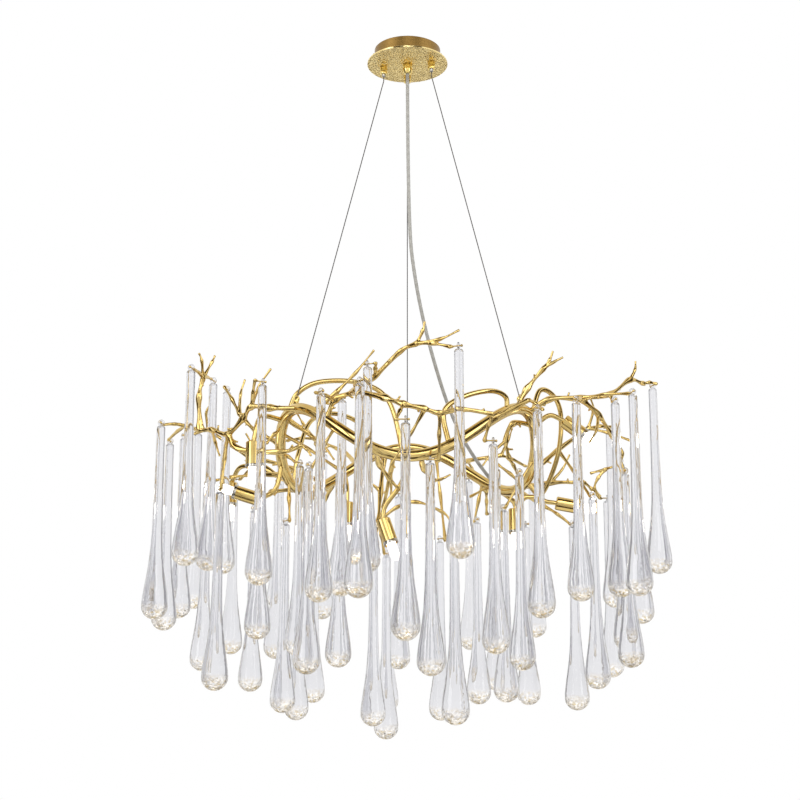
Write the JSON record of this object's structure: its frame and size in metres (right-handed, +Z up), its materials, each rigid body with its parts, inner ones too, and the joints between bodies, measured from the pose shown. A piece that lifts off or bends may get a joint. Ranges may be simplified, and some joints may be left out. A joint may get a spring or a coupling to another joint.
{
  "type": "chandelier",
  "caption": "Round branch chandelier: hammered canopy, cables to a wavy brass ring, cast twigs with hanging glass drops and small sleeved lamps.",
  "frame": {"origin": "middle of the ceiling face of the mounting bracket", "axes": "+Z up into the ceiling, -Y towards the viewer of the picture"},
  "size_m": [0.8116, 0.6717, 1.125],
  "materials": {
    "polished_brass": "polished",
    "hammered_brass": "hammered and polished",
    "brushed_brass": "brushed",
    "brass_hardware": "satin",
    "nickel": "polished",
    "steel_cable": "fine stranded",
    "zinc_steel": "zinc plated",
    "clear_pvc": "translucent gloss",
    "terminal_plastic": "matte",
    "ceramic": "matte",
    "frosted_bulb": "frosted",
    "clear_glass": "clear and polished"
  },
  "bodies": {
    "frame": {"cable_anchors": "polished_brass", "canopy_band": "brushed_brass", "canopy_plate": "hammered_brass", "canopy_screws": "brass_hardware", "ceiling_bracket": "zinc_steel", "cord_gland": "polished_brass", "cord_gland_nut": "brass_hardware", "frame_ring": "polished_brass", "gripper_barrels": "polished_brass", "gripper_nuts": "brass_hardware", "lamp_arms": "polished_brass", "lamp_bulbs": "frosted_bulb", "lamp_sleeves": "polished_brass", "lamp_sockets": "ceramic", "power_cord": "clear_pvc", "suspension_cable_left": "steel_cable", "suspension_cable_rear": "steel_cable", "suspension_cable_right": "steel_cable", "terminal_block": "terminal_plastic", "twigs_back": "polished_brass", "twigs_back_left": "polished_brass", "twigs_back_right": "polished_brass", "twigs_front": "polished_brass", "twigs_left": "polished_brass", "twigs_right": "polished_brass", "vine_hoops": "polished_brass", "vine_left": "polished_brass", "vine_right": "polished_brass"},
    "drops_back_left": {"glass_drops_back_left": "clear_glass"},
    "drops_back_left_high": {"glass_drops_back_left_high": "clear_glass"},
    "drops_back_left_under": {"glass_drops_back_left_under": "clear_glass"},
    "drops_back_low": {"glass_drops_back_low": "clear_glass"},
    "drops_back_right_high": {"glass_drops_back_right_high": "clear_glass"},
    "drops_back_right_low": {"glass_drops_back_right_low": "clear_glass"},
    "drops_back_under": {"glass_drops_back_under": "clear_glass"},
    "drops_far_left": {"glass_drops_far_left": "clear_glass"},
    "drops_far_left_back": {"glass_drops_far_left_back": "clear_glass"},
    "drops_far_right": {"glass_drops_far_right": "clear_glass"},
    "drops_far_right_back": {"glass_drops_far_right_back": "clear_glass"},
    "drops_front": {"glass_drops_front": "clear_glass"},
    "drops_front_centre": {"glass_drops_front_centre": "clear_glass"},
    "drops_front_high": {"glass_drops_front_high": "clear_glass"},
    "drops_front_left": {"glass_drops_front_left": "clear_glass"},
    "drops_front_left_high": {"glass_drops_front_left_high": "clear_glass"},
    "drops_front_left_inner": {"glass_drops_front_left_inner": "clear_glass"},
    "drops_front_right": {"glass_drops_front_right": "clear_glass"},
    "drops_front_under": {"glass_drops_front_under": "clear_glass"},
    "drops_inner_back": {"glass_drops_inner_back": "clear_glass"},
    "drops_inner_right": {"glass_drops_inner_right": "clear_glass"},
    "drops_inner_right_high": {"glass_drops_inner_right_high": "clear_glass"},
    "drops_left_high": {"glass_drops_left_high": "clear_glass"},
    "drops_left_inner": {"glass_drops_left_inner": "clear_glass"},
    "drops_left_low": {"glass_drops_left_low": "clear_glass"},
    "drops_left_under": {"glass_drops_left_under": "clear_glass"},
    "drops_right": {"glass_drops_right": "clear_glass"},
    "drops_right_high": {"glass_drops_right_high": "clear_glass"},
    "drops_right_under": {"glass_drops_right_under": "clear_glass"},
    "plunger_left": {"gripper_plunger_left": "nickel"},
    "plunger_rear": {"gripper_plunger_rear": "nickel"},
    "plunger_right": {"gripper_plunger_right": "nickel"}
  },
  "joints": [
    {"name": "back_left_swing", "type": "hinge", "parent": "frame", "child": "drops_back_left", "pos_m": [-0.3, 0.25, -0.685], "axis": [0.8664, -0.4874, -0.1083], "range_deg": [-3, 3]},
    {"name": "back_left_high_swing", "type": "hinge", "parent": "frame", "child": "drops_back_left_high", "pos_m": [-0.225, 0.3, -0.605], "axis": [0.9129, 0.3651, -0.1826], "range_deg": [-3, 3]},
    {"name": "back_left_under_swing", "type": "hinge", "parent": "frame", "child": "drops_back_left_under", "pos_m": [-0.18, 0.155, -0.795], "axis": [0.1659, 0.9542, 0.2489], "range_deg": [-3, 3]},
    {"name": "back_low_swing", "type": "hinge", "parent": "frame", "child": "drops_back_low", "pos_m": [0.15, 0.25, -0.745], "axis": [-0.9782, 0, 0.2075], "range_deg": [-3, 3]},
    {"name": "back_right_high_swing", "type": "hinge", "parent": "frame", "child": "drops_back_right_high", "pos_m": [0.22, 0.28, -0.655], "axis": [-0.9685, 0.1761, -0.1761], "range_deg": [-3, 3]},
    {"name": "back_right_low_swing", "type": "hinge", "parent": "frame", "child": "drops_back_right_low", "pos_m": [0.34, 0.205, -0.725], "axis": [-0.9515, -0.034, -0.3058], "range_deg": [-3, 3]},
    {"name": "back_under_swing", "type": "hinge", "parent": "frame", "child": "drops_back_under", "pos_m": [-0.035, 0.31, -0.78], "axis": [0.6297, -0.7697, -0.105], "range_deg": [-3, 3]},
    {"name": "far_left_swing", "type": "hinge", "parent": "frame", "child": "drops_far_left", "pos_m": [-0.38, -0.055, -0.65], "axis": [0, 0.9939, -0.1104], "range_deg": [-3, 3]},
    {"name": "far_left_back_swing", "type": "hinge", "parent": "frame", "child": "drops_far_left_back", "pos_m": [-0.37, 0.115, -0.635], "axis": [0.2308, 0.9231, 0.3077], "range_deg": [-3, 3]},
    {"name": "far_right_swing", "type": "hinge", "parent": "frame", "child": "drops_far_right", "pos_m": [0.39, 0.01, -0.575], "axis": [-0.3248, 0.9094, -0.2598], "range_deg": [-3, 3]},
    {"name": "far_right_back_swing", "type": "hinge", "parent": "frame", "child": "drops_far_right_back", "pos_m": [0.375, 0.1, -0.645], "axis": [-0.2577, 0.9662, 0], "range_deg": [-3, 3]},
    {"name": "front_swing", "type": "hinge", "parent": "frame", "child": "drops_front", "pos_m": [0.03, -0.23, -0.74], "axis": [0.937, 0.1562, 0.3123], "range_deg": [-3, 3]},
    {"name": "front_centre_swing", "type": "hinge", "parent": "frame", "child": "drops_front_centre", "pos_m": [-0.005, -0.3, -0.697], "axis": [0.9999, -0.0167, 0], "range_deg": [-3, 3]},
    {"name": "front_high_swing", "type": "hinge", "parent": "frame", "child": "drops_front_high", "pos_m": [-0.059, -0.222, -0.599], "axis": [0.9324, -0.3469, 0.1012], "range_deg": [-3, 3]},
    {"name": "front_left_swing", "type": "hinge", "parent": "frame", "child": "drops_front_left", "pos_m": [-0.125, -0.226, -0.64], "axis": [0.6651, -0.7468, 0], "range_deg": [-3, 3]},
    {"name": "front_left_high_swing", "type": "hinge", "parent": "frame", "child": "drops_front_left_high", "pos_m": [-0.215, -0.16, -0.61], "axis": [0.884, 0.4612, -0.0769], "range_deg": [-3, 3]},
    {"name": "front_left_inner_swing", "type": "hinge", "parent": "frame", "child": "drops_front_left_inner", "pos_m": [-0.145, -0.16, -0.735], "axis": [0.314, 0.9421, 0.1178], "range_deg": [-3, 3]},
    {"name": "front_right_swing", "type": "hinge", "parent": "frame", "child": "drops_front_right", "pos_m": [0.185, -0.205, -0.66], "axis": [0.6269, 0.7234, 0.2893], "range_deg": [-3, 3]},
    {"name": "front_under_swing", "type": "hinge", "parent": "frame", "child": "drops_front_under", "pos_m": [0.065, -0.175, -0.805], "axis": [0.9374, 0.3482, 0], "range_deg": [-3, 3]},
    {"name": "inner_back_swing", "type": "hinge", "parent": "frame", "child": "drops_inner_back", "pos_m": [-0.055, 0.095, -0.805], "axis": [0.2821, 0.9169, -0.2821], "range_deg": [-3, 3]},
    {"name": "inner_right_swing", "type": "hinge", "parent": "frame", "child": "drops_inner_right", "pos_m": [0.115, 0.15, -0.77], "axis": [0.251, -0.968, 0], "range_deg": [-3, 3]},
    {"name": "inner_right_high_swing", "type": "hinge", "parent": "frame", "child": "drops_inner_right_high", "pos_m": [0.145, 0.095, -0.69], "axis": [0.1653, -0.9587, -0.2314], "range_deg": [-3, 3]},
    {"name": "left_high_swing", "type": "hinge", "parent": "frame", "child": "drops_left_high", "pos_m": [-0.328, -0.115, -0.577], "axis": [0.2074, 0.9776, 0.0355], "range_deg": [-3, 3]},
    {"name": "left_inner_swing", "type": "hinge", "parent": "frame", "child": "drops_left_inner", "pos_m": [-0.225, -0.06, -0.68], "axis": [0.6028, 0.7672, -0.2192], "range_deg": [-3, 3]},
    {"name": "left_low_swing", "type": "hinge", "parent": "frame", "child": "drops_left_low", "pos_m": [-0.325, 0.085, -0.72], "axis": [0.2441, -0.9459, -0.2136], "range_deg": [-3, 3]},
    {"name": "left_under_swing", "type": "hinge", "parent": "frame", "child": "drops_left_under", "pos_m": [-0.255, 0.15, -0.75], "axis": [0.5278, -0.7916, -0.3079], "range_deg": [-3, 3]},
    {"name": "right_swing", "type": "hinge", "parent": "frame", "child": "drops_right", "pos_m": [0.335, -0.03, -0.72], "axis": [0.0618, 0.9267, 0.3707], "range_deg": [-3, 3]},
    {"name": "right_high_swing", "type": "hinge", "parent": "frame", "child": "drops_right_high", "pos_m": [0.33, -0.16, -0.625], "axis": [-0.1957, 0.9785, 0.0652], "range_deg": [-3, 3]},
    {"name": "right_under_swing", "type": "hinge", "parent": "frame", "child": "drops_right_under", "pos_m": [0.29, 0.015, -0.75], "axis": [-0.1802, 0.9458, -0.2702], "range_deg": [-3, 3]},
    {"name": "plunger_left_press", "type": "slide", "parent": "frame", "child": "plunger_left", "axis": [0, 0, 1], "range_m": [0, 0.002], "stiffness_N_per_m": 500},
    {"name": "plunger_rear_press", "type": "slide", "parent": "frame", "child": "plunger_rear", "axis": [0, 0, 1], "range_m": [0, 0.002], "stiffness_N_per_m": 500},
    {"name": "plunger_right_press", "type": "slide", "parent": "frame", "child": "plunger_right", "axis": [0, 0, 1], "range_m": [0, 0.002], "stiffness_N_per_m": 500}
  ]
}
